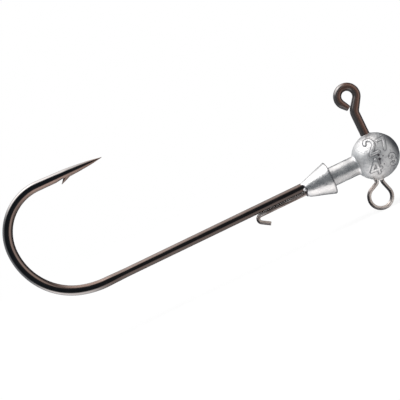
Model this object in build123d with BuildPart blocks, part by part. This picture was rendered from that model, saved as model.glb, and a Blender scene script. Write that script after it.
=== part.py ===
from build123d import *
import math
import os

# Jig head for soft baits, in millimetres: a forged 90-degree jig hook, a bent keeper wire,
# and a lead head cast round both.
# Frame: the origin is the centre of the line eye. +X runs along the shank towards the nose
# of the ball, +Z runs up the eye's stem, and all the wire lies in the XZ plane.

# Lead head
ball_diameter = 12.7
neck_diameter = 5.25
neck_chamfer = 0.4  # where the neck runs into the ball
shoulder_back = 13.6  # from the ball's centre back to the cone's flat shoulder
shoulder_diameter = 9.0
rim_land = 0.3  # short straight edge behind the shoulder
cone_length = 7.8  # from the rim land to the small end
cone_end_diameter = 3.9

# Hook wire
wire_diameter = 2.5
eye_height = 17.85  # eye centre above the ball's centre
shank_lift = 0.85  # shank axis above the ball's centre
stem_bend_radius = 2.6  # centre line of the right-angle bend inside the ball
shank_length = 80.15  # from the stem's axis back to where the bend begins

# Line eye: a ring of tapering wire, with its end closed against the stem
eye_radius = 2.6  # centre line of the ring
eye_wire = 2.24
eye_end_wire = 1.6
eye_kick_angle = 35  # the stem leans out this far to meet the ring
eye_kick_radius = 2.5
eye_end_gap = 0.03  # left between the ring's end and the stem

# Hook bend: three tangent arcs of wire that is swaged thicker and forged flat on its sides
onset_radius, onset_turn = 24.0, 17
main_radius, main_turn = 17.7, 73
upper_radius, upper_turn = 13.5, 91.6
bend_diameter = 2.78
swell_length = 6.0  # the shank deepens to the bend's size over this length
forged_width = 2.45  # across the two flats
flats_back = 81.5  # from the stem's axis back to where the flats reach their full depth

# Point and barb, measured back from the tip along the point leg's axis
point_leg_length = 19.0
point_length = 10.2
point_grinds = ((3.4, 1.26), (6.8, 1.98))  # back from the tip, and the diameter there
tip_diameter = 0.16
barb_rise = 10.0  # where the barb's belly leaves the leg
barb_belly_diameter = 2.0
barb_root = 11.5
barb_root_depth = 0.8  # below the leg's axis
barb_overhang = 1.25  # from the root back to the barb's own tip
barb_drop = 2.28  # the barb's tip below the leg's axis
barb_tip_diameter = 0.16
barb_cut_length = 3.2  # the cut behind the barb runs out this far from its root

# Keeper wire: a barb under the shank at one end and the belly loop at the other
keeper_diameter = 1.1
keeper_gap = 0.05  # between the shank and the keeper wire
keeper_reach = 34.95  # from the stem's axis back to where the keeper barb turns
keeper_barb_radius = 1.0
keeper_barb_turn = 148
keeper_barb_length = 2.6
rear_leg_back = 2.65  # from the stem's axis back to the loop's rear leg
front_leg_back = 1.24
rear_corner_radius = 1.25  # inside the ball
loop_radius = 3.1  # centre line of the belly loop
loop_back = 3.5  # from the stem's axis back to the loop's centre
loop_drop = 10.5  # from the ball's centre down to the loop's centre
rear_run_slope = 25  # below level
rear_kink_radius = 0.85
front_run_lean = 17  # away from upright
front_kink_radius = 2.0

# Places worked out from the sizes
ball_z = -eye_height
shank_z = ball_z + shank_lift
keeper_top = shank_z - wire_diameter / 2 - keeper_gap
keeper_z = keeper_top - keeper_diameter / 2
round_length = shank_length - swell_length  # the shank is round from the stem's axis back to here
land_x = -shoulder_back - rim_land
cone_end_x = land_x - cone_length


def across(point, direction):
    """The plane square to a wire at this point, with its x in the plane of the hook."""
    return Plane(origin=point, x_dir=Vector(0, 1, 0).cross(direction), z_dir=direction)


def taper(centre_line, start_diameter, end_diameter):
    """Round wire of changing size along a straight line."""
    with Locations(across(centre_line @ 0.5, centre_line % 0.5)):
        Cone(start_diameter / 2, end_diameter / 2, centre_line.length)


# ----- Hook: stem, shank, line eye, forged bend, point and barb ----------------------------
kick_sin, kick_cos = math.sin(math.radians(eye_kick_angle)), math.cos(math.radians(eye_kick_angle))
# The straight run from the stem's lean to the ring, and how far the stem's top is below the eye
eye_run = (eye_radius * kick_cos - eye_kick_radius * (1 - kick_cos)) / kick_sin
stem_top = -(eye_radius + eye_kick_radius) * kick_sin - eye_run * kick_cos
# The ring's straight end stops where its inner corner meets the stem
end_corner = eye_end_wire / 2 * (kick_cos**2 - kick_sin**2)
end_reach = 2 * eye_radius * kick_cos**2 - end_corner - wire_diameter / 2 - eye_end_gap
eye_end_run = end_reach / (2 * kick_sin * kick_cos)

with BuildPart() as hook:
    # Shank and stem, one round wire with a right-angle bend, leaning out below the eye
    with BuildLine(Plane.XZ) as wire_path:
        shank = Line((-round_length, shank_z), (-stem_bend_radius, shank_z))
        corner = JernArc(shank @ 1, shank % 1, stem_bend_radius, 90)
        stem = Line(corner @ 1, Vector(0, 0, stem_top))
        kick = JernArc(stem @ 1, stem % 1, eye_kick_radius, -eye_kick_angle)
    with BuildSketch(across(shank @ 0, shank % 0)):
        Circle(wire_diameter / 2)
    sweep(path=wire_path.line)

    # Line eye: the wire draws down, runs round the ring and closes on the stem
    with BuildLine(Plane.XZ) as eye_path:
        run = Line(kick @ 1, kick @ 1 + eye_run * (kick % 1))
        ring = JernArc(run @ 1, run % 1, eye_radius, 180 + 2 * eye_kick_angle)
        ring_end = Line(ring @ 1, ring @ 1 + eye_end_run * (ring % 1))
    taper(run, wire_diameter, eye_wire)
    with BuildSketch(across(ring @ 0, ring % 0)):
        Circle(eye_wire / 2)
    sweep(path=ring)
    taper(ring_end, eye_wire, eye_end_wire)

    # Bend, with the swell that leads into it and the leg that draws down again to the point
    with BuildLine(Plane.XZ) as bend_path:
        onset = JernArc((-shank_length, shank_z), (-1, 0), onset_radius, -onset_turn)
        main = JernArc(onset @ 1, onset % 1, main_radius, -main_turn)
        upper = JernArc(main @ 1, main % 1, upper_radius, -upper_turn)
    with BuildSketch(across(onset @ 0, onset % 0)):
        Circle(bend_diameter / 2)
    sweep(path=bend_path.line)
    leg_direction = upper % 1
    point_tip = upper @ 1 + point_leg_length * leg_direction
    with BuildLine(Plane.XZ):
        swell = Line(shank @ 0, onset @ 0)
        leg = Line(upper @ 1, point_tip - point_length * leg_direction)
    taper(swell, wire_diameter, bend_diameter)
    taper(leg, bend_diameter, wire_diameter)

    # Flats forged on both sides of the bend, sloping in from where the swell begins
    with BuildSketch():
        with BuildLine():
            Polyline(
                (-round_length, bend_diameter / 2),
                (-round_length, wire_diameter / 2),
                (-flats_back, forged_width / 2),
                (-shank_length - onset_radius, forged_width / 2),
                (-shank_length - onset_radius, bend_diameter / 2),
                close=True,
            )
        make_face()
        mirror(about=Plane.XZ)
    extrude(amount=eye_height + bend_diameter, both=True, mode=Mode.SUBTRACT)

    # Needle point, ground down from the round wire. The leg plane's x runs back from the tip
    leg_plane = Plane(origin=point_tip, x_dir=-leg_direction, z_dir=(0, 1, 0))
    with BuildSketch(leg_plane):
        with BuildLine():
            Polyline(
                (0, 0),
                (0, tip_diameter / 2),
                *((back, diameter / 2) for back, diameter in point_grinds),
                (point_length, wire_diameter / 2),
                (point_length, 0),
                close=True,
            )
        make_face()
    revolve(axis=Axis(point_tip, leg_direction))

    # Barb: a tapering sliver with a round belly, raised from the leg's underside
    belly_axis = (barb_belly_diameter - wire_diameter) / 2 + barb_tip_diameter / 4
    with BuildLine(leg_plane):
        sliver = Line((barb_rise, belly_axis), (barb_root + barb_overhang, -barb_drop))
    taper(sliver, barb_belly_diameter, barb_tip_diameter)
    # The sloping cut that leaves it standing: along the leg to the root, then down the barb
    with BuildSketch(leg_plane):
        with BuildLine():
            Polyline(
                (barb_root + barb_cut_length, -bend_diameter / 2),
                (barb_root, -barb_root_depth),
                (barb_root + barb_overhang, -barb_drop),
                (barb_root + barb_cut_length, -barb_drop - barb_overhang),
                close=True,
            )
        make_face()
    extrude(amount=wire_diameter, both=True, mode=Mode.SUBTRACT)


# ----- Keeper wire: barb, run under the shank, belly loop and front leg --------------------
def on_loop(degrees):
    """The point of the belly loop's ring at this angle up from +X, as (x, z)."""
    turned = math.radians(degrees)
    return (
        loop_radius * math.cos(turned) - loop_back,
        loop_radius * math.sin(turned) - loop_drop + ball_z,
    )


# Both runs leave the ring at a tangent, and these are the heights where they meet the legs
rear_start, front_start = on_loop(90 + rear_run_slope), on_loop(front_run_lean)
rear_kink_z = rear_start[1] - (rear_start[0] + rear_leg_back) * math.tan(math.radians(rear_run_slope))
front_kink_z = front_start[1] + (front_start[0] + front_leg_back) / math.tan(math.radians(front_run_lean))

with BuildPart() as keeper_wire:
    with BuildLine(Plane.XZ) as keeper_path:
        rear = FilletPolyline(
            (-keeper_reach, keeper_z),
            (-rear_leg_back, keeper_z),
            (-rear_leg_back, rear_kink_z),
            rear_start,
            radius=(rear_corner_radius, rear_kink_radius),
        )
        loop = JernArc(rear @ 1, rear % 1, loop_radius, 270 - rear_run_slope + front_run_lean)
        FilletPolyline(
            loop @ 1,
            Vector(-front_leg_back, 0, front_kink_z),
            Vector(-front_leg_back, 0, keeper_top),
            radius=front_kink_radius,
        )
        barb_turn = JernArc(rear @ 0, (-1, 0), keeper_barb_radius, keeper_barb_turn)
        barb_end = Line(barb_turn @ 1, barb_turn @ 1 + keeper_barb_length * (barb_turn % 1))
    with BuildSketch(across(barb_end @ 1, barb_end % 1)):
        Circle(keeper_diameter / 2)
    sweep(path=keeper_path.line)

# ----- Lead head: ball, neck and barbed cone, cast round the hook and the keeper wire ------
with BuildPart() as lead_head:
    # Turned about the head's axis
    with BuildSketch(Plane.XY.offset(ball_z)) as head_profile:
        Circle(ball_diameter / 2)
        with Locations((-shoulder_back / 2, 0)):
            Rectangle(shoulder_back, neck_diameter)
        chamfer(head_profile.vertices().group_by(Axis.X)[1], neck_chamfer)
        with Locations((-shoulder_back - rim_land / 2, 0)):
            Rectangle(rim_land, shoulder_diameter)
        Polygon(
            (land_x, shoulder_diameter / 2),
            (land_x, -shoulder_diameter / 2),
            (cone_end_x, -cone_end_diameter / 2),
            (cone_end_x, cone_end_diameter / 2),
            align=None,
        )
        split(bisect_by=Plane.XZ)
    revolve(axis=Axis((0, 0, ball_z), (1, 0, 0)))
    add(hook.part, mode=Mode.SUBTRACT)
    add(keeper_wire.part, mode=Mode.SUBTRACT)

hook.part.label = "hook"
keeper_wire.part.label = "keeper_wire"
lead_head.part.label = "lead_head"

os.makedirs("parts", exist_ok=True)
export_step(hook.part, "parts/hook.step")
export_step(keeper_wire.part, "parts/keeper_wire.step")
export_step(lead_head.part, "parts/lead_head.step")
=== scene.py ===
import math

import bmesh
import bpy
from mathutils import Matrix, Vector, noise


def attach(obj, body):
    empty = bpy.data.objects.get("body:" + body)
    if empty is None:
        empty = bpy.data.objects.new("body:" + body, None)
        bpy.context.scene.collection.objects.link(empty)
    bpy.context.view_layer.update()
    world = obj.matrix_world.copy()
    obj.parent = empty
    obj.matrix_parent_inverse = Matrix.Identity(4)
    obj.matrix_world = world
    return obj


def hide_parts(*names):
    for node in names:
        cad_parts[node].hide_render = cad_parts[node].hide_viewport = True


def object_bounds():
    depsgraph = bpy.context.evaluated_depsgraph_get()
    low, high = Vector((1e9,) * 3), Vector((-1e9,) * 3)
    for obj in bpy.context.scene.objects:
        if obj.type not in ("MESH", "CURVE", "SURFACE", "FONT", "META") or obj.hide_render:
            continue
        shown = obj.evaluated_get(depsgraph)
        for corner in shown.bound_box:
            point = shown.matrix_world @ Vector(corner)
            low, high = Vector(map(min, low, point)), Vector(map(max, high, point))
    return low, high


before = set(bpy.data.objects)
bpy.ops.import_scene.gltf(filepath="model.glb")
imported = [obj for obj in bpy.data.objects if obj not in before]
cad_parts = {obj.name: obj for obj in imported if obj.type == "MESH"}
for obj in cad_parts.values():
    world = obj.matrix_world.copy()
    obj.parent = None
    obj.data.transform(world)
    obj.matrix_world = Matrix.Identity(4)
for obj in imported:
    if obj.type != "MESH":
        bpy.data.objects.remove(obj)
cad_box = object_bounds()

# Sizes below are in millimetres, as in the CAD model, and are scaled on the way into a mesh
MM = 0.001

# ----- Sizes shared with the CAD model ------------------------------------------------------
ball_radius = 6.35
neck_radius = 2.625
shoulder_back = 13.6
shoulder_radius = 4.5
rim_land = 0.3
cone_length = 7.8
cone_end_radius = 1.95

wire_radius = 1.25
eye_height = 17.85
shank_lift = 0.85
stem_bend_radius = 2.6
shank_length = 80.15

eye_radius = 2.6
eye_wire_radius = 1.12
eye_end_radius = 0.8
eye_kick_angle = 35
eye_kick_radius = 2.5
eye_end_gap = 0.03

onset_radius, onset_turn = 24.0, 17
main_radius, main_turn = 17.7, 73
upper_radius, upper_turn = 13.5, 91.6
bend_wire_radius = 1.39
swell_length = 6.0
forged_half_width = 1.225
flats_back = 81.5

point_leg_length = 19.0
point_length = 10.2
point_grinds = ((3.4, 0.63), (6.8, 0.99))
barb_rise = 10.0
barb_belly_radius = 1.0
barb_root = 11.5
barb_root_depth = 0.8
barb_overhang = 1.25
barb_drop = 2.28
barb_cut_length = 3.2

keeper_radius = 0.55
keeper_reach = 34.95
keeper_barb_radius = 1.0
keeper_barb_turn = 148
keeper_barb_length = 2.6
rear_leg_back = 2.65
front_leg_back = 1.24
rear_corner_radius = 1.25
loop_radius = 3.1
loop_back = 3.5
loop_drop = 10.5
rear_run_slope = 25
rear_kink_radius = 0.85
front_run_lean = 17
front_kink_radius = 2.0

# ----- Sizes that are finer than the CAD model's, or not in it ------------------------------
keeper_gap = 0.02  # the photo shows no line of light between the keeper wire and the shank
tip_radius = 0.06
barb_tip_radius = 0.07
flat_half_height = 0.41  # of the forged flats, where the bend is thickest
flat_edge = 0.08  # the rounding between a flat and the round of the wire
wire_unevenness = 0.006  # as a share of the radius

ball_z = -eye_height
shank_z = ball_z + shank_lift
keeper_top = shank_z - wire_radius - keeper_gap
keeper_z = keeper_top - keeper_radius
round_length = shank_length - swell_length
land_x = -shoulder_back - rim_land
cone_end_x = land_x - cone_length


def smoothstep(low, high, value):
    """0 below low, 1 above high, and smooth between. low may be the larger."""
    t = min(max((value - low) / (high - low), 0.0), 1.0)
    return t * t * (3 - 2 * t)


def soft_minimum(a, b, width):
    """The smaller of a and b, with the corner between them rounded over this width."""
    blend = max(width - abs(a - b), 0.0) / width
    return min(a, b) - blend * blend * width / 4


# ----- Camera -------------------------------------------------------------------------------
image_size = 400  # pixels, both ways
pixel = 0.27  # millimetres at the plane of the wire
camera_distance = 207.0
camera_roll = 25.73  # the shank rises this far to the right, in degrees
view_centre = Vector((-47.84, 0, -8.0))


def make_camera():
    data = bpy.data.cameras.new("camera")
    data.lens = data.sensor_width * camera_distance / (image_size * pixel)
    data.clip_start = 0.01
    camera = bpy.data.objects.new("camera", data)
    bpy.context.scene.collection.objects.link(camera)
    level = Matrix(((1, 0, 0), (0, 0, -1), (0, 1, 0))).to_4x4()  # looks along +Y with +Z up
    place = Matrix.Translation((view_centre - Vector((0, camera_distance, 0))) * MM)
    camera.matrix_world = place @ level @ Matrix.Rotation(-math.radians(camera_roll), 4, "Z")
    bpy.context.scene.camera = camera


# ----- Meshes -------------------------------------------------------------------------------
def mesh_object(name, bm, sharp_angle=40):
    """An object of a bmesh in millimetres, smooth but for its sharp edges."""
    bmesh.ops.scale(bm, vec=(MM, MM, MM), verts=bm.verts)
    bmesh.ops.recalc_face_normals(bm, faces=bm.faces)
    data = bpy.data.meshes.new(name)
    bm.to_mesh(data)
    bm.free()
    data.shade_smooth()
    data.set_sharp_from_angle(angle=math.radians(sharp_angle))
    made = bpy.data.objects.new(name, data)
    bpy.context.scene.collection.objects.link(made)
    return made


def skin(bm, rings, lengths=None):
    """Quads between rings of equally many points, with a fan over each end.

    With each ring's distance along a wire, every point also keeps where it would lie if the
    wire were straight, for marks that follow the wire.
    """
    straight = bm.verts.layers.float_vector.new("straight") if lengths else None
    loops = [[bm.verts.new(point) for point in ring] for ring in rings]
    count = len(loops[0])
    if lengths:
        for loop, length in zip(loops, lengths):
            middle = sum((v.co for v in loop), Vector()) / count
            for i, vert in enumerate(loop):
                out, turn = (vert.co - middle).length, 2 * math.pi * i / count
                vert[straight] = Vector((length, out * math.cos(turn), out * math.sin(turn))) * MM
    for here, there in zip(loops, loops[1:]):
        for i in range(count):
            j = (i + 1) % count
            bm.faces.new((here[i], here[j], there[j], there[i]))
    for loop in (loops[0], loops[-1]):
        middle = bm.verts.new(sum((v.co for v in loop), Vector()) / count)
        if lengths:
            middle[straight] = sum((v[straight] for v in loop), Vector()) / count
        for i in range(count):
            bm.faces.new((loop[i], loop[(i + 1) % count], middle))


class Path:
    """A wire's centre line in the XZ plane, as stations of (place, heading, distance).

    The heading is in radians, from +X towards +Z.
    """

    def __init__(self, x, z, heading):
        self.stations = [(Vector((x, 0, z)), math.radians(heading), 0.0)]

    def arc(self, radius, turn, step=0.3):
        """Turns by this many degrees, positive from +X towards +Z."""
        place, heading, distance = self.stations[-1]
        side = math.copysign(1, turn)
        centre = place + side * radius * left_of(heading)
        steps = max(2, round(radius * math.radians(abs(turn)) / step))
        for i in range(1, steps + 1):
            turned = math.radians(turn) * i / steps
            here = centre - side * radius * left_of(heading + turned)
            self.stations.append((here, heading + turned, distance + radius * abs(turned)))
        return self

    def line(self, length, step=0.8):
        place, heading, distance = self.stations[-1]
        steps = max(1, round(length / step))
        for i in range(1, steps + 1):
            run = length * i / steps
            self.stations.append((place + run * along(heading), heading, distance + run))
        return self

    def reversed(self):
        """The same stations seen from the other end, with distances below zero."""
        turned = reversed(self.stations)
        return [(place, heading + math.pi, -distance) for place, heading, distance in turned]


def along(heading):
    return Vector((math.cos(heading), 0, math.sin(heading)))


def left_of(heading):
    return Vector((-math.sin(heading), 0, math.cos(heading)))


def between(pairs, value):
    """The value read off a line through (place, value) pairs in rising order."""
    for (start, low), (end, high) in zip(pairs, pairs[1:]):
        if value <= end:
            return low + (high - low) * max(value - start, 0.0) / (end - start)
    return pairs[-1][1]


def wire_ring(place, heading, radius, columns, flat=None, seed=0.0):
    """One section of a wire: round, or squeezed between flats this far from its middle plane."""
    squeeze = min(flat / math.sqrt(radius**2 - flat_half_height**2), 1.0) if flat else 1.0
    ring = []
    for i in range(columns):
        turn = 2 * math.pi * i / columns
        # Long swells along the wire, and short ones round it
        spot = place * 0.35 + Vector((seed, math.sin(turn), math.cos(turn)))
        uneven = 1 + wire_unevenness * noise.noise(spot)
        out = radius * uneven * squeeze * math.sin(turn)
        if flat:
            out = math.copysign(soft_minimum(abs(out), flat, flat_edge), out)
        up = radius * uneven * math.cos(turn)
        ring.append(place + up * left_of(heading) + Vector((0, out, 0)))
    return ring


def cut_end(place, heading, radius, columns, rounding, first=False):
    """Rings that round over the edge of a wire's end and close it.

    They run out to the end, or back in from it when they are the first of the wire, whose
    heading points inwards.
    """
    outwards = -1 if first else 1
    rings = []
    for i in range(1, 5):
        turn = math.pi / 2 * i / 4
        inset = rounding * (1 - math.cos(turn))
        reach = outwards * rounding * (math.sin(turn) - 1)
        rings.append(wire_ring(place + reach * along(heading), heading, radius - inset, columns))
    for share in (0.66, 0.33):
        rings.append(wire_ring(place, heading, (radius - rounding) * share, columns))
    return rings[::-1] if first else rings


# ----- Hook ---------------------------------------------------------------------------------
def hook_path():
    """Stations from the eye's cut end to the needle's tip, and the wire's radius along them."""
    kick = math.radians(eye_kick_angle)
    kick_sin, kick_cos = math.sin(kick), math.cos(kick)
    eye_run = (eye_radius * kick_cos - eye_kick_radius * (1 - kick_cos)) / kick_sin
    stem_top = -(eye_radius + eye_kick_radius) * kick_sin - eye_run * kick_cos
    end_corner = eye_end_radius * (kick_cos**2 - kick_sin**2)
    end_reach = 2 * eye_radius * kick_cos**2 - end_corner - wire_radius - eye_end_gap
    eye_end_run = end_reach / (2 * kick_sin * kick_cos)

    up = Path(-stem_bend_radius, shank_z, 0)
    up.arc(stem_bend_radius, 90).line(stem_top - shank_z - stem_bend_radius)
    up.arc(eye_kick_radius, -eye_kick_angle, 0.2)
    kicked = up.stations[-1][2]
    up.line(eye_run, 0.4)
    drawn = up.stations[-1][2]
    up.arc(eye_radius, 180 + 2 * eye_kick_angle, 0.2)
    round_the_ring = up.stations[-1][2]
    up.line(eye_end_run, 0.3)
    eye_end = up.stations[-1][2]

    back = Path(-stem_bend_radius, shank_z, 180)
    back.line(round_length - stem_bend_radius, 1.0)
    swell_start = back.stations[-1][2]
    back.line(swell_length, 0.5)
    bend_start = back.stations[-1][2]
    back.arc(onset_radius, -onset_turn, 0.35).arc(main_radius, -main_turn, 0.35)
    back.arc(upper_radius, -upper_turn, 0.35)
    bend_end = back.stations[-1][2]
    back.line(point_leg_length - point_length, 0.3)
    point_start = back.stations[-1][2]
    back.line(point_length, 0.25)
    tip = back.stations[-1][2]

    radii = [
        (-eye_end, eye_end_radius),
        (-round_the_ring, eye_wire_radius),
        (-drawn, eye_wire_radius),
        (-kicked, wire_radius),
        (swell_start, wire_radius),
        (bend_start, bend_wire_radius),
        (bend_end, bend_wire_radius),
        (point_start, wire_radius),
        *((tip - back_from, radius) for back_from, radius in point_grinds[::-1]),
        (tip, tip_radius),
    ]
    return up.reversed() + back.stations[1:], radii


def softened(pairs, value, reach):
    """between(), averaged over a short reach so that the tapers run into each other."""
    places = [value + reach * k / 2 for k in (-2, -1, 0, 1, 2)]
    low, high = pairs[0][0], pairs[-1][0]
    return sum(between(pairs, min(max(p, low), high)) for p in places) / len(places)


def make_hook():
    columns = 40
    stations, radii = hook_path()
    # The flats close in from just outside the round wire
    flats = [(-flats_back, forged_half_width), (-round_length, wire_radius + 0.1)]
    bm = bmesh.new()
    place, heading, distance = stations[0]
    rings = cut_end(place, heading, eye_end_radius, columns, 0.12, first=True)
    lengths = [distance] * len(rings)
    for place, heading, distance in stations[1:]:
        lengths.append(distance)
        ends_near = distance < stations[1][2] or distance > stations[-2][2]
        radius = between(radii, distance) if ends_near else softened(radii, distance, 0.6)
        flat = between(flats, place.x) if place.x < -round_length else None
        rings.append(wire_ring(place, heading, radius, columns, flat))
    place, heading, distance = stations[-1]
    blunt = place + 0.05 * along(heading)
    rings.append(wire_ring(blunt, heading, tip_radius * 0.5, columns))
    lengths.append(distance)
    skin(bm, rings, lengths)
    hook = mesh_object("hook_wire", bm)

    tip, heading, distance = stations[-1]
    back, down = -along(heading), -left_of(heading)

    def on_leg(from_tip, below, y=0.0):
        return tip + from_tip * back + below * down + Vector((0, y, 0))

    # The barb is a tapering sliver raised from the leg's underside
    sliver = bmesh.new()
    start = on_leg(barb_rise, wire_radius - barb_belly_radius - barb_tip_radius / 2)
    end = on_leg(barb_root + barb_overhang, barb_drop)
    slant = math.atan2(end.z - start.z, end.x - start.x)
    rings, lengths = [], []
    for i in range(13):
        share = i / 12
        radius = barb_belly_radius * (1 - share) ** 0.9 + barb_tip_radius * share
        rings.append(wire_ring(start.lerp(end, share), slant, radius, 32))
        lengths.append((end - start).length * share)
    skin(sliver, rings, lengths)
    combine(hook, mesh_object("sliver", sliver), "UNION")

    # The sloping cut that leaves it standing
    corners = (
        (barb_root + barb_cut_length, bend_wire_radius),
        (barb_root, barb_root_depth),
        (barb_root + barb_overhang, barb_drop),
        (barb_root + barb_cut_length, barb_drop + barb_overhang),
    )
    cutter = bmesh.new()
    skin(cutter, [[on_leg(a, b, y) for a, b in corners] for y in (-3, 3)])
    combine(hook, mesh_object("cutter", cutter), "DIFFERENCE")
    hook.data.set_sharp_from_angle(angle=math.radians(32))
    return hook


def combine(target, tool, operation):
    """Joins the tool to the target or cuts it away, and keeps only the mesh that results."""
    modifier = target.modifiers.new(operation, "BOOLEAN")
    modifier.object = tool
    modifier.operation = operation
    modifier.solver = "EXACT"
    graph = bpy.context.evaluated_depsgraph_get()
    result = bpy.data.meshes.new_from_object(target.evaluated_get(graph))
    target.modifiers.clear()
    old = target.data
    target.data = result
    result.name = target.name
    bpy.data.meshes.remove(old)
    bpy.data.objects.remove(tool)


# ----- Keeper wire --------------------------------------------------------------------------
def make_keeper():
    columns = 28
    slope, lean = math.radians(rear_run_slope), math.radians(front_run_lean)
    loop_middle = Vector((-loop_back, 0, ball_z - loop_drop))
    # Both runs leave the ring at a tangent, and these are the heights where they meet the legs
    rear_start = loop_middle + loop_radius * left_of(slope)
    front_start = loop_middle + loop_radius * along(lean)
    rear_kink_z = rear_start.z - (rear_start.x + rear_leg_back) * math.tan(slope)
    front_kink_z = front_start.z + (front_start.x + front_leg_back) / math.tan(lean)
    # A fillet takes its radius times the tangent of half the turn from each of its two runs
    rear_cut = rear_kink_radius * math.tan((math.pi / 2 - slope) / 2)
    front_cut = front_kink_radius * math.tan(lean / 2)
    rear_kink = Vector((-rear_leg_back, 0, rear_kink_z))
    front_kink = Vector((-front_leg_back, 0, front_kink_z))

    # From the keeper barb's cut end to the front leg's top
    heading = math.pi + math.radians(keeper_barb_turn)
    barb_centre = Vector((-keeper_reach, 0, keeper_z - keeper_barb_radius))
    turn_end = barb_centre - keeper_barb_radius * left_of(heading)
    barb_end = turn_end + keeper_barb_length * along(heading)
    path = Path(barb_end.x, barb_end.z, math.degrees(heading) + 180)
    path.line(keeper_barb_length, 0.3).arc(keeper_barb_radius, -keeper_barb_turn, 0.12)
    path.line(keeper_reach - rear_leg_back - rear_corner_radius, 0.8)
    path.arc(rear_corner_radius, -90, 0.15)
    path.line(keeper_z - rear_corner_radius - rear_kink_z - rear_cut, 0.3)
    path.arc(rear_kink_radius, rear_run_slope - 90, 0.12)
    path.line((rear_start - rear_kink).length - rear_cut, 0.3)
    path.arc(loop_radius, 270 - rear_run_slope + front_run_lean, 0.15)
    path.line((front_kink - front_start).length - front_cut, 0.3)
    path.arc(front_kink_radius, -front_run_lean, 0.12)
    path.line(keeper_top - path.stations[-1][0].z, 0.5)

    bm = bmesh.new()
    place, heading, distance = path.stations[0]
    rings = cut_end(place, heading, keeper_radius, columns, 0.07, first=True)
    lengths = [distance] * len(rings)
    for place, heading, distance in path.stations[1:-1]:
        rings.append(wire_ring(place, heading, keeper_radius, columns, seed=5.0))
        lengths.append(distance)
    place, heading, distance = path.stations[-1]
    rings += cut_end(place, heading, keeper_radius, columns, 0.07)
    lengths += [distance] * (len(rings) - len(lengths))
    skin(bm, rings, lengths)
    return mesh_object("keeper_wire_form", bm)


# ----- Lead head ----------------------------------------------------------------------------
def arc_points(x, z, rx, rz, start, end):
    """Points along a part of an ellipse, between two turns in degrees."""
    steps = 8
    turns = [math.radians(start + (end - start) * i / steps) for i in range(steps + 1)]
    return [(x + rx * math.cos(t), z + rz * math.sin(t)) for t in turns]


# Plain numbers stand on the side of the ball, cut in the mould half as round strokes. Each
# figure is drawn in a box one wide and figure_height high, from its lower left corner.
figure_height = 1.5
figures = {
    "2": [arc_points(0.48, 1.05, 0.45, 0.45, 165, -35) + [(0.05, 0.0), (0.98, 0.0)]],
    "3": [
        arc_points(0.48, 1.12, 0.4, 0.38, 160, -90),
        arc_points(0.48, 0.37, 0.46, 0.37, 90, -160),
    ],
    "4": [[(0.75, 0.0), (0.75, figure_height), (0.05, 0.45), (1.0, 0.45)]],
    "7": [[(0.05, figure_height), (0.95, figure_height), (0.35, 0.0)]],
}
# Where each stands: lower left corner from the ball's centre, width, height, relief
marks = (
    ("2", -2.45, 1.0, 2.3, 3.9, 0.28),
    ("4", -3.8, -4.2, 2.6, 3.6, 0.28),
    ("7", 0.85, 0.95, 2.2, 2.8, 0.17),
    ("3", 1.8, -3.8, 1.8, 2.7, 0.18),
)
stroke_radius = 0.33
# Flaws of the casting on the same side: a scratch's two ends, and each pit's middle and radius
scratch = ((-0.85, -1.0), (-1.05, -2.1))
scratch_depth = 0.12
pits = ((-0.6, 0.15, 0.46), (-0.75, -0.85, 0.52), (0.4, -0.5, 0.24), (-0.1, -2.6, 0.18))
pit_depth = 0.28


def segment_distance(p, q, start, end):
    """How far the point (p, q) is from a straight stroke."""
    dx, dz = end[0] - start[0], end[1] - start[1]
    share = ((p - start[0]) * dx + (q - start[1]) * dz) / (dx * dx + dz * dz)
    share = min(max(share, 0.0), 1.0)
    return math.hypot(p - start[0] - share * dx, q - start[1] - share * dz)


def mark_strokes():
    """Every stroke of the marks as (start, end, relief)."""
    strokes = []
    for figure, left, low, width, height, relief in marks:
        for line in figures[figure]:
            placed = [(left + width * x, low + height * z / figure_height) for x, z in line]
            strokes += [(a, b, relief) for a, b in zip(placed, placed[1:])]
    return strokes


strokes = mark_strokes()


def side_relief(p, q):
    """How far the side of the ball stands out at (p, q) from its centre, seen square on."""
    height = 0.0
    near = stroke_radius + 0.2
    for start, end, relief in strokes:
        in_width = min(start[0], end[0]) - near < p < max(start[0], end[0]) + near
        in_height = min(start[1], end[1]) - near < q < max(start[1], end[1]) + near
        if in_width and in_height:
            away = segment_distance(p, q, start, end) - stroke_radius
            height = max(height, relief * smoothstep(0.08, -0.12, away))
    for x, z, radius in pits:
        height -= pit_depth * smoothstep(radius, radius * 0.25, math.hypot(p - x, q - z))
    height -= scratch_depth * smoothstep(0.3, 0.08, segment_distance(p, q, *scratch))
    return height


def edge_of_marks(p, q):
    """1 at the foot of a stroke, where shade is painted round the marks, and 0 away from it."""
    away = min(segment_distance(p, q, start, end) for start, end, relief in strokes) - stroke_radius
    return smoothstep(-0.05, 0.08, away) * smoothstep(0.32, 0.1, away)


ball_blend = 0.12  # radians of the ball that run into the neck
blend_reach = 0.45  # how far along the neck that goes on
neck_fillet = 0.16
rim_rounding = 0.1
end_rounding = 0.2


def quarter(steps):
    """(sine, 1 - cosine) at even steps round a quarter turn."""
    turns = [math.pi / 2 * i / steps for i in range(1, steps + 1)]
    return [(math.sin(turn), 1 - math.cos(turn)) for turn in turns]


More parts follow.
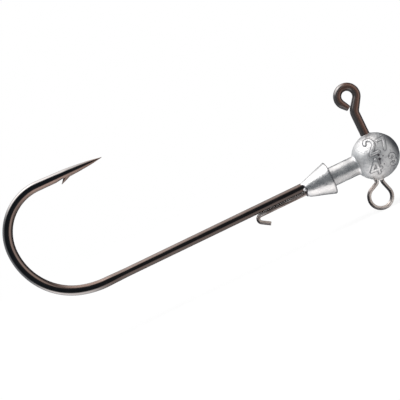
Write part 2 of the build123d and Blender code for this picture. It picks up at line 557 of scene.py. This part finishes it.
def head_profile():
    """The head's outline as (x, radius), from the nose to the small end, its corners eased."""
    points = []
    neck_turn = math.pi - math.asin(neck_radius / ball_radius)
    rows = 170
    for i in range(1, rows + 1):
        turn = (neck_turn - ball_blend) * i / rows
        points.append((ball_radius * math.cos(turn), ball_radius * math.sin(turn)))
    start = Vector(points[-1])
    corner = Vector((ball_radius * math.cos(neck_turn), neck_radius))
    end = Vector((corner.x - blend_reach, neck_radius))
    for i in range(1, 6):
        share = i / 5
        points.append(tuple(start.lerp(corner, share).lerp(corner.lerp(end, share), share)))
    rows = 26
    neck_back = -shoulder_back + neck_fillet
    for i in range(1, rows + 1):
        points.append((end.x + (neck_back - end.x) * i / rows, neck_radius))
    for sine, rise in quarter(4):
        points.append((neck_back - neck_fillet * sine, neck_radius + neck_fillet * rise))
    face_start, face_end = neck_radius + neck_fillet, shoulder_radius - rim_rounding
    for i in range(1, 9):
        points.append((-shoulder_back, face_start + (face_end - face_start) * i / 8))
    for sine, rise in quarter(4):
        points.append((-shoulder_back - rim_rounding * rise, face_end + rim_rounding * sine))
    points.append((land_x + 0.04, shoulder_radius))
    rows = 56
    for i in range(1, rows + 1):
        share = 1 - (1 - i / rows) ** 1.6  # closer together towards the small end
        radius = shoulder_radius + (cone_end_radius - shoulder_radius) * share
        points.append((land_x - cone_length * share, radius))
    for sine, rise in quarter(5):
        points.append((cone_end_x - end_rounding * sine, cone_end_radius - end_rounding * rise))
    for i in range(1, 25):
        points.append((cone_end_x - end_rounding, (cone_end_radius - end_rounding) * (1 - i / 25)))
    return points


ball_back = -5.6  # the casting is ball in front of this x, and neck and cone behind it
near_side = -1.5  # marks and flaws are on the ball in front of this y
seam_height, seam_width = 0.05, 0.09
half_step = 0.012  # one half of the mould stands this much proud of the other
gate_middle = Vector((0.72, 0, 0.69)).normalized()  # from the ball's centre
gate_radius, gate_depth = 1.5, 0.16

# The ragged mouth: how far its edge stands back from the cone's end, by its height on the
# casting, from -1 below to 1 above
mouth_edge = ((-1.0, 0.5), (-0.5, 0.65), (0.1, 1.0), (0.7, 0.5), (0.97, 0.05), (1.0, 0.0))
mouth_reach = 1.6  # how far up the cone it is felt
bead_out, bead_up = 1.15, 0.12  # the bead's middle, out from the casting's axis and above it
bead_half_width, bead_half_height = 0.46, 0.62
bead_foot, bead_length = 0.8, 0.85  # it starts this far inside the cone's end


def bead(y, z):
    """The bead of lead in the mouth's near side: 1 on its middle, 0 off it."""
    if y > 0:
        return 0.0
    out, up = (math.hypot(y, z) - bead_out) / bead_half_width, (z - bead_up) / bead_half_height
    return max(1 - math.hypot(out, up) ** 2, 0.0)


def meniscus(place, wire_x, radius, height, reach):
    """How far the lead creeps up round an upright wire that leaves the ball."""
    away = math.hypot(place.x - wire_x, place.y) - radius
    return height * math.exp(-max(away, 0.0) / reach)


def head_surface(x, radius, turn):
    """A point of the casting. The turn is about +X, from +Z towards -Y."""
    normal = Vector((0, -math.sin(turn), math.cos(turn)))
    place = Vector((x, 0, 0)) + radius * normal
    on_ball = x > ball_back
    if on_ball:
        normal = place.normalized()
    # Mould halves that meet on the wire's plane leave a thin seam, one half a hair proud
    seam = math.exp(-((abs(place.y) / seam_width) ** 2))
    out = seam_height * seam * smoothstep(0.5, 1.5, radius)
    out += half_step * smoothstep(-0.05, 0.05, place.y)
    # Lead shrinks and flows unevenly
    out += 0.05 * noise.noise(place * 0.45) + 0.022 * noise.noise(place * 1.4 + Vector((7, 0, 0)))
    if on_ball:
        out += 0.012 * noise.noise(place * 4.5)
        if place.y < near_side:
            out += side_relief(place.x, place.z)
        # Sprue cut flush on the seam, above the nose, and rough where it was cut
        gate = (normal - gate_middle).length * ball_radius
        rough = noise.noise(place * 3.5 + Vector((0, 9, 0)))
        out -= gate_depth * smoothstep(gate_radius, gate_radius - 0.6, gate)
        out += 0.05 * smoothstep(gate_radius - 0.1, gate_radius - 0.7, gate) * rough
        if place.z > 0:
            out += meniscus(place, 0, wire_radius, 0.14, 0.22)
        else:
            out += meniscus(place, -rear_leg_back, keeper_radius, 0.10, 0.16)
            out += meniscus(place, -front_leg_back, keeper_radius, 0.34, 0.22)
    else:
        out += 0.01 * noise.noise(place * 3.0)
    # The small end is ragged where the lead ran out along the wires
    end = smoothstep(cone_end_x + mouth_reach, cone_end_x, x)
    if end > 0:
        height = math.cos(turn)
        ragged = noise.noise(Vector((3, math.sin(turn) * 2.2, height * 2.2)))
        retreat = end * (between(mouth_edge, height) + 0.15 * ragged)
        place.x += retreat
        out += retreat * (shoulder_radius - cone_end_radius) / cone_length  # still on the cone
        out -= 0.28 * end * smoothstep(0.2, -0.9, height)  # drawn in below
        out += 0.06 * end * smoothstep(0.75, 1.0, height)
        if x < cone_end_x:
            drop = bead(place.y, place.z)
            place.x += min(4 * drop, 1.0) * (cone_end_x + bead_foot - place.x) - bead_length * drop
            out *= radius / cone_end_radius
    place += out * normal
    place.z += ball_z
    return place


head_columns = 320
even_turns = [2 * math.pi * i / head_columns for i in range(head_columns)]
head_turns = [turn + 0.4 * math.cos(turn) for turn in even_turns]  # closer on the marked side


def make_head():
    bm = bmesh.new()
    rings = []
    for x, radius in head_profile():
        rings.append([head_surface(x, radius, turn) for turn in head_turns])
    skin(bm, rings)
    return mesh_object("lead_casting", bm, 50)


# ----- Materials ----------------------------------------------------------------------------
class Shader:
    """A material's node tree, with one short call for each kind of node that is used."""

    def __init__(self, name):
        self.material = bpy.data.materials.new(name)
        self.material.use_nodes = True
        self.tree = self.material.node_tree
        self.surface = self.tree.nodes["Principled BSDF"]
        self.place = self.tree.nodes.new("ShaderNodeTexCoord").outputs["Object"]
        self.straight = self.attribute("straight", "Vector")

    def link(self, value, socket):
        if isinstance(value, bpy.types.NodeSocket):
            self.tree.links.new(value, socket)
        else:
            socket.default_value = value

    def noise(self, scale, detail=4.0, roughness=0.5, stretch=None):
        """Clouds with this many to a metre, or streaks along the wire, drawn out this much."""
        node = self.tree.nodes.new("ShaderNodeTexNoise")
        node.inputs["Scale"].default_value = scale
        node.inputs["Detail"].default_value = detail
        node.inputs["Roughness"].default_value = roughness
        self.link(self.drawn_out(stretch) if stretch else self.place, node.inputs["Vector"])
        return node.outputs["Fac"]

    def drawn_out(self, stretch):
        """Places on the straightened wire, brought together so that clouds become streaks."""
        node = self.tree.nodes.new("ShaderNodeMapping")
        node.inputs["Scale"].default_value = (1 / stretch, 1, 1)
        self.tree.links.new(self.straight, node.inputs["Vector"])
        return node.outputs["Vector"]

    def span(self, value, low, high, out_low=0.0, out_high=1.0):
        """value from low..high to out_low..out_high, and held at the ends."""
        node = self.tree.nodes.new("ShaderNodeMapRange")
        node.interpolation_type = "SMOOTHSTEP"
        for socket, number in zip(node.inputs[:5], (value, low, high, out_low, out_high)):
            self.link(number, socket)
        return node.outputs["Result"]

    def mix(self, share, first, second):
        """A colour this share of the way from the first to the second."""
        node = self.tree.nodes.new("ShaderNodeMix")
        node.data_type = "RGBA"
        for index, value in ((0, share), (6, first), (7, second)):
            self.link(value, node.inputs[index])
        return node.outputs[2]

    def math(self, operation, first, second):
        node = self.tree.nodes.new("ShaderNodeMath")
        node.operation = operation
        self.link(first, node.inputs[0])
        self.link(second, node.inputs[1])
        return node.outputs["Value"]

    def bump(self, height, strength, distance, below=None):
        """A normal for this height, on top of the bump below it, if there is one."""
        node = self.tree.nodes.new("ShaderNodeBump")
        node.inputs["Strength"].default_value = strength
        node.inputs["Distance"].default_value = distance
        self.link(height, node.inputs["Height"])
        if below:
            self.link(below, node.inputs["Normal"])
        return node.outputs["Normal"]

    def attribute(self, name, output="Fac"):
        node = self.tree.nodes.new("ShaderNodeAttribute")
        node.attribute_name = name
        return node.outputs[output]

    def finish(self, **sockets):
        """The material, with these on the sockets of its surface."""
        for name, value in sockets.items():
            self.link(value, self.surface.inputs[name.replace("_", " ")])
        return self.material


def point_values(piece, *names):
    """New values at every point of a piece, for its material to read by these names."""
    for name in names:
        piece.data.attributes.new(name, "FLOAT", "POINT")
    return [piece.data.attributes[name].data for name in names]


def black_nickel():
    """Bright black nickel over polished steel: near black, browned by the mould's heat.

    Warm light, a highlight and shade are painted on it where paint_hook() puts them.
    """
    s = Shader("black_nickel")
    tone = s.span(s.noise(260, 3), 0.35, 0.68)
    colour = s.mix(tone, (0.145, 0.135, 0.130, 1), (0.180, 0.166, 0.160, 1))
    wear = s.span(s.noise(900, 5, 0.6), 0.62, 0.72)
    colour = s.mix(s.math("MULTIPLY", wear, 0.6), colour, (0.30, 0.27, 0.25, 1))
    # The brown mix is partly the plating's own and partly painted warm light on nose-facing sides.
    bronze_and_warm_light, oxide = s.attribute("bronze_and_warm_light"), s.attribute("oxide")
    warm_tone = s.mix(oxide, (0.27, 0.172, 0.133, 1), (0.21, 0.120, 0.092, 1))
    colour = s.mix(bronze_and_warm_light, colour, warm_tone)
    # Painted highlight: a lighter colour on the bend's outside and the eye's upper left.
    colour = s.mix(s.attribute("painted_sheen"), colour, (0.40, 0.38, 0.37, 1))
    # Painted shade: near black under the wire and on the eye's and stem's far sides.
    colour = s.mix(s.attribute("painted_nickel_shade"), colour, (0.03, 0.028, 0.03, 1))
    roughness = s.span(s.noise(520, 4, 0.6), 0.3, 0.7, 0.12, 0.22)
    drawn = s.bump(s.noise(2600, 3, 0.5, 26), 0.16, 0.00003)
    pitted = s.bump(s.noise(2600, 4, 0.6), 0.04, 0.00003, drawn)
    metallic = s.span(oxide, 0.0, 1.0, 1.0, 0.6)
    return s.finish(Base_Color=colour, Metallic=metallic, Roughness=roughness, Normal=pitted)


bend_middle = Vector((-82.0, 0, 1.0))  # the bend's inside faces this, and the eye's the origin
half_way = -50  # the x that parts the bend's side of the hook from the eye's


def paint_hook(hook):
    """Where the plating has turned brown, and where warm light, highlight or shade is painted.

    It has turned brown at the needle and partly along the shank. Warm light is painted inside the
    bend and on the nose side of the eye and the stem. A highlight is painted on the outside of the
    bend, faintly on its inside, and on the upper left of the eye's outside. Shade is painted under
    the shank, under the eye and the stem, and on their sides that face along the shank.
    """
    bronze_and_warm_light, painted_sheen, painted_nickel_shade, oxide = point_values(hook, "bronze_and_warm_light", "painted_sheen", "painted_nickel_shade", "oxide")
    for vertex in hook.data.vertices:
        place, normal = vertex.co / MM, vertex.normal
        # The part of the hook that the point is on
        leg = smoothstep(0, 6, place.z) * smoothstep(half_way, half_way - 6, place.x)
        bend = max(smoothstep(-78, -86, place.x), leg)
        upright = smoothstep(-14, -12, place.z) * smoothstep(-40, -20, place.x)
        straight = 1 - max(bend, upright)
        needle = leg * smoothstep(-76, -66, place.x)
        # The side of the wire that it faces
        middle = bend_middle if place.x < half_way else Vector()
        outwards = (place - middle).normalized().dot(normal)
        inner, outer = smoothstep(0.1, -0.3, outwards), smoothstep(0.3, 0.6, outwards)
        under = smoothstep(-0.15, -0.5, normal.z)
        nose_side = smoothstep(-0.45, -0.05, normal.x) * smoothstep(0.8, 0.4, normal.x)
        away = max(smoothstep(-0.1, -0.5, normal.x), smoothstep(0.4, 0.8, normal.x))
        top_left = smoothstep(0.0, 0.4, normal.z) * smoothstep(0.15, -0.2, normal.x)
        # A painted highlight on the upper left of the eye's outside.
        painted_top_highlight = upright * outer * top_left

        # Painted warm light inside the bend and on nose-facing sides; shank and needle are the
        # plating's own.
        warm_tone = bend * inner + upright * nose_side + 0.35 * straight
        bronze_and_warm_light[vertex.index].value = max(warm_tone, needle)
        # Painted highlight on the bend's outside, faintly on its inside, and on the eye.
        painted_sheen[vertex.index].value = bend * (outer + 0.25 * inner) * (1 - needle) + painted_top_highlight
        # Painted shade under the wire and on the eye's and stem's sides that face along the shank.
        upright_shade = upright * max(0.6 * under, 0.5 * away)
        painted_nickel_shade[vertex.index].value = 0.4 * straight * under + upright_shade
        # The oxide's colour is left off where the highlight is painted.
        oxide[vertex.index].value = upright - painted_top_highlight


def keeper_steel():
    """Drawn stainless spring wire, browned in patches, with dark and bright streaks along it."""
    s = Shader("keeper_steel")
    patch = s.span(s.noise(330, 2), 0.42, 0.58)
    bright = s.mix(patch, (0.62, 0.53, 0.49, 1), (1.0, 0.94, 0.90, 1))
    streak = s.span(s.noise(1700, 4, 0.5, 14), 0.42, 0.58)
    colour = s.mix(streak, (0.20, 0.15, 0.13, 1), bright)
    # Painted highlight: light cream and less metal on the sides towards the nose and up.
    keeper_highlight = s.attribute("keeper_highlight")
    colour = s.mix(s.math("MULTIPLY", keeper_highlight, 0.45), colour, (1.0, 0.86, 0.77, 1))
    # Painted shade: near black on the sides away from the nose and below.
    colour = s.mix(s.attribute("keeper_shade"), colour, (0.04, 0.035, 0.04, 1))
    roughness = s.span(s.noise(1100, 4, 0.6), 0.3, 0.7, 0.2, 0.4)
    drawn = s.bump(s.noise(3600, 4, 0.6, 20), 0.3, 0.00005)
    metallic = s.span(keeper_highlight, 0.0, 1.0, 0.82, 0.5)
    return s.finish(Base_Color=colour, Metallic=metallic, Roughness=roughness, Normal=drawn)


# The side of the keeper's loop and barb where shade is painted.
shaded_side = Vector((-0.88, 0, -0.47))  # away from the nose, and a little down


def paint_keeper(keeper):
    """The loop and barb: painted shade away from the nose and below, painted highlight elsewhere.
    """
    keeper_shade, keeper_highlight = point_values(keeper, "keeper_shade", "keeper_highlight")
    for vertex in keeper.data.vertices:
        place = vertex.co / MM
        loop = smoothstep(ball_z - 6.2, ball_z - 7.2, place.z)
        barb = smoothstep(keeper_z - 0.2, keeper_z - 1.0, place.z)
        barb *= smoothstep(-30.0, -31.0, place.x)
        loop_and_barb = max(loop, barb)
        away = vertex.normal.dot(shaded_side)
        keeper_shade[vertex.index].value = 0.95 * loop_and_barb * smoothstep(0.0, 0.4, away)
        keeper_highlight[vertex.index].value = loop_and_barb * smoothstep(0.2, -0.1, away)


def cast_lead():
    """Bare lead as it left the mould: silver grey, duller in clouds, grainy on the ball.

    Shade is painted on it where paint_head() puts it.
    """
    s = Shader("cast_lead")
    grainy = s.attribute("grain")
    cloud = s.span(s.noise(330, 5, 0.6), 0.35, 0.68)
    colour = s.mix(cloud, (0.68, 0.685, 0.69, 1), (0.90, 0.90, 0.895, 1))
    speck = s.span(s.noise(2400, 3, 0.7), 0.60, 0.72)
    colour = s.mix(s.math("MULTIPLY", speck, 0.3), colour, (0.45, 0.46, 0.47, 1))
    mottle = s.math("MULTIPLY", s.span(s.noise(1500, 3, 0.6), 0.46, 0.36), grainy)
    colour = s.mix(s.math("MULTIPLY", mottle, 0.4), colour, (0.36, 0.37, 0.385, 1))
    # Painted shade: near black in the corners, on the ball's nose, round the marks and in the
    # flaws.
    casting_shade = s.attribute("casting_shade")
    colour = s.mix(casting_shade, colour, (0.10, 0.095, 0.11, 1))
    clouded = s.span(s.noise(700, 4), 0.3, 0.7, 0.24, 0.34)
    roughness = s.math("ADD", clouded, s.math("MULTIPLY", grainy, 0.07))
    fine = s.bump(s.noise(3200, 5, 0.65), 0.14, 0.00005)
    rough = s.bump(s.math("MULTIPLY", s.noise(2600, 6, 0.7), grainy), 0.8, 0.00012, fine)
    metallic = s.span(grainy, 0.0, 1.0, 0.82, 0.7)
    return s.finish(Base_Color=colour, Metallic=metallic, Roughness=roughness, Normal=rough)


def ball_dark(x, y, z):
    """Painted shade on the ball: at the neck, on the nose, round the marks and in the flaws."""
    neck_start = -math.sqrt(ball_radius**2 - neck_radius**2)
    # Painted shade where the ball meets the neck.
    dark = 0.35 * smoothstep(0.5, 0.1, abs(x - neck_start)) * smoothstep(2.2, 2.6, math.hypot(y, z))
    nose = 0.955 * x - 0.22 * y + 0.2 * z  # how far out towards the nose's near side
    # Painted shade on the nose's near side.
    dark += 0.85 * smoothstep(4.15, 5.95, nose)
    if y < near_side:
        # Painted shade round the marks, in the scratch and in the pits.
        dark = max(dark, 0.75 * edge_of_marks(x, z))
        dark = max(dark, 0.75 * smoothstep(0.3, 0.1, segment_distance(x, z, *scratch)))
        for pit_x, pit_z, pit_radius in pits:
            away = math.hypot(x - pit_x, z - pit_z)
            dark = max(dark, smoothstep(pit_radius, pit_radius * 0.55, away))
    return dark


def paint_head(head):
    """Two values over the casting for its material: how grainy it is, and how much shade is
    painted.

    The ball is grainy, and so is the bead in the mouth. Shade is painted on the rim land, the
    shoulder's face, the neck's end and the edge of the mouth, and where ball_dark() says.
    """
    grain, casting_shade = point_values(head, "grain", "casting_shade")
    profile = head_profile()
    for vertex in head.data.vertices:
        x, y, z = vertex.co / MM
        z -= ball_z
        radius = math.hypot(y, z)
        grain[vertex.index].value = smoothstep(-6.2, -4.8, x)
        dark = 0.0
        if x > ball_back:
            dark = ball_dark(x, y, z)
        elif x < -shoulder_back - 0.05:
            # Painted shade on the rim land.
            dark = 0.8 * smoothstep(land_x - 0.05, land_x + 0.1, x)
            row, column = divmod(vertex.index, head_columns)
            if row < len(profile):  # where the point lay before the mouth was made ragged
                first_x, first_radius = profile[row]
                sin, cos = math.sin(head_turns[column]), math.cos(head_turns[column])
                in_mouth = first_x < cone_end_x - 0.1
                drop = bead(-first_radius * sin, first_radius * cos) if in_mouth else 0.0
                # Painted shade along the mouth's edge, off the bead.
                edge = smoothstep(cone_end_x + 0.17, cone_end_x + 0.02, first_x)
                edge *= smoothstep(0.95, 0.75, cos)
                dark = max(dark, 0.9 * edge * smoothstep(0.3, 0.1, drop))
                grain[vertex.index].value = smoothstep(0.1, 0.3, drop)
        elif x < 0.5 - shoulder_back:
            if radius > neck_radius + 0.2:  # the shoulder's face, with painted shade that deepens where it meets the neck
                dark = 0.3 + 0.5 * smoothstep(neck_radius + 0.7, neck_radius + 0.2, radius)
            else:
                # Painted shade on the neck's end, by the shoulder.
                dark = 0.8 * smoothstep(0.5 - shoulder_back, 0.1 - shoulder_back, x)
        casting_shade[vertex.index].value = dark


# ----- Studio -------------------------------------------------------------------------------
def make_world():
    """White behind everything, and for reflections a dark studio with soft panels of light.

    A panel hangs overhead, and a window leans from there towards the bend. A weaker glow comes
    up from the table. Strips stand on the nose's side and, faintly, on the bend's side. Between
    them the room is dark and a little blue.
    """
    world = bpy.data.worlds.new("studio")
    world.use_nodes = True
    bpy.context.scene.world = world
    tree = world.node_tree
    tree.nodes.clear()

    def node(kind, *values, **settings):
        made = tree.nodes.new(kind)
        for key, value in settings.items():
            setattr(made, key, value)
        for index, value in enumerate(values):
            if isinstance(value, bpy.types.NodeSocket):
                tree.links.new(value, made.inputs[index])
            else:
                made.inputs[index].default_value = value
        return made.outputs[0] if made.outputs else made

    def ramp(*values):
        """From (value, low, high, out_low, out_high), as span() does for a material."""
        return node("ShaderNodeMapRange", *values, interpolation_type="SMOOTHSTEP")

    def times(*values):
        product = values[0]
        for value in values[1:]:
            product = node("ShaderNodeMath", product, value, operation="MULTIPLY")
        return product

    def tilted(value, lean, share):
        """value + share * lean"""
        return node("ShaderNodeMath", lean, share, value, operation="MULTIPLY_ADD")

    split = tree.nodes.new("ShaderNodeSeparateXYZ")
    tree.links.new(tree.nodes.new("ShaderNodeTexCoord").outputs["Generated"], split.inputs[0])
    x, y, z = split.outputs
    behind = node("ShaderNodeMath", y, 0.0, operation="MAXIMUM")

    def strip(turn, reach):
        """1 on a half circle of directions, turned from +X towards +Z, and 0 beyond its reach."""
        cos, sin = math.cos(math.radians(turn)), math.sin(math.radians(turn))
        across = node("ShaderNodeMath", tilted(times(x, -sin), z, cos), operation="ABSOLUTE")
        outwards = tilted(times(x, cos), z, sin)
        return times(ramp(across, *reach, 1.0, 0.0), ramp(outwards, 0.1, 0.4, 0.0, 1.0))

    overhead = times(
        ramp(tilted(z, behind, 0.22), 0.73, 1.02, 0.0, 1.4),
        ramp(x, 0.15, 0.65, 1.0, 0.4),
    )
    window = times(
        strip(118, (0.18, 0.48)),
        ramp(y, -0.76, -0.2, 0.0, 2.2),
        ramp(y, 0.1, 0.5, 1.0, 0.25),
    )
    table = times(
        ramp(tilted(z, x, 0.15), -0.80, -0.47, 1.0, 0.0),
        ramp(x, -0.6, 0.7, 1.35, 0.35),
        ramp(behind, 0.0, 0.6, 1.0, 0.55),
    )
    nose_side = times(
        strip(0, (0.6, 0.85)),
        ramp(y, -0.95, -0.70, 0.0, 0.7),
        ramp(y, -0.5, 0.25, 1.0, 0.05),
    )
    tail_side = times(strip(180, (0.6, 0.9)), ramp(y, -0.8, 0.0, 0.0, 0.33))
    dark_room = 0.065
    panels = (
        ((0.62, 0.80, 1.0, 1), dark_room),
        ((1.0, 0.96, 0.94, 1), overhead),
        ((1.0, 0.98, 0.97, 1), window),
        ((1.0, 0.95, 0.93, 1), table),
        ((1.0, 0.97, 0.95, 1), nose_side),
        ((0.92, 0.96, 1.0, 1), tail_side),
    )
    studio = None
    for colour, strength in panels:
        panel = node("ShaderNodeBackground", colour, strength)
        studio = node("ShaderNodeAddShader", studio, panel) if studio else panel

    paths = tree.nodes.new("ShaderNodeLightPath").outputs
    ambient = node("ShaderNodeBackground", (1, 1, 1, 1), 0.3)
    lit = node("ShaderNodeMixShader", paths["Is Glossy Ray"], ambient, studio)
    white = node("ShaderNodeBackground", (1, 1, 1, 1), 1.0)
    shown = node("ShaderNodeMixShader", paths["Is Camera Ray"], lit, white)
    node("ShaderNodeOutputWorld", shown)


def make_lamp(name, direction, spread, strength):
    """A distant soft light that comes from this direction."""
    data = bpy.data.lights.new(name, "SUN")
    data.angle = math.radians(spread)
    data.energy = strength
    lamp = bpy.data.objects.new(name, data)
    bpy.context.scene.collection.objects.link(lamp)
    lamp.rotation_euler = (-Vector(direction)).to_track_quat("-Z", "Y").to_euler()
    lamp.visible_glossy = False  # metal shows the world's panels in its place


def make_floor():
    """A white floor that holds only faint shadows, since it glows for the camera."""
    half_metres, glow_strength, glow_share = 3.0, 1.1, 0.78
    bm = bmesh.new()
    bmesh.ops.create_grid(bm, x_segments=2, y_segments=2, size=half_metres / MM)
    floor = mesh_object("floor", bm)
    floor.location.z = cad_box[0].z
    s = Shader("floor_white")
    s.finish(Base_Color=(0.9, 0.9, 0.9, 1), Roughness=0.9, Specular_IOR_Level=0.0)
    glow = s.tree.nodes.new("ShaderNodeEmission")
    glow.inputs["Strength"].default_value = glow_strength
    paths = s.tree.nodes.new("ShaderNodeLightPath")
    share = s.math("MULTIPLY", paths.outputs["Is Camera Ray"], glow_share)
    mixed = s.tree.nodes.new("ShaderNodeMixShader")
    s.link(share, mixed.inputs[0])
    s.tree.links.new(s.surface.outputs[0], mixed.inputs[1])
    s.tree.links.new(glow.outputs[0], mixed.inputs[2])
    s.tree.links.new(mixed.outputs[0], s.tree.nodes["Material Output"].inputs["Surface"])
    floor.data.materials.append(s.material)
    floor.visible_glossy = False


# ----- The jig head -------------------------------------------------------------------------
def dress(piece, node, material):
    """The piece stands for this CAD node, with its finish."""
    piece.data.materials.clear()
    piece.data.materials.append(material)
    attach(piece, "root")
    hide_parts(node)


make_camera()
make_world()
make_lamp("key", (-0.5, -0.45, 1.0), 50, 2.0)
make_floor()

head = make_head()
paint_head(head)
hook = make_hook()
paint_hook(hook)
dress(hook, "hook", black_nickel())
keeper = make_keeper()
paint_keeper(keeper)
dress(keeper, "keeper_wire", keeper_steel())
dress(head, "lead_head", cast_lead())

bpy.context.scene.view_settings.view_transform = "Standard"
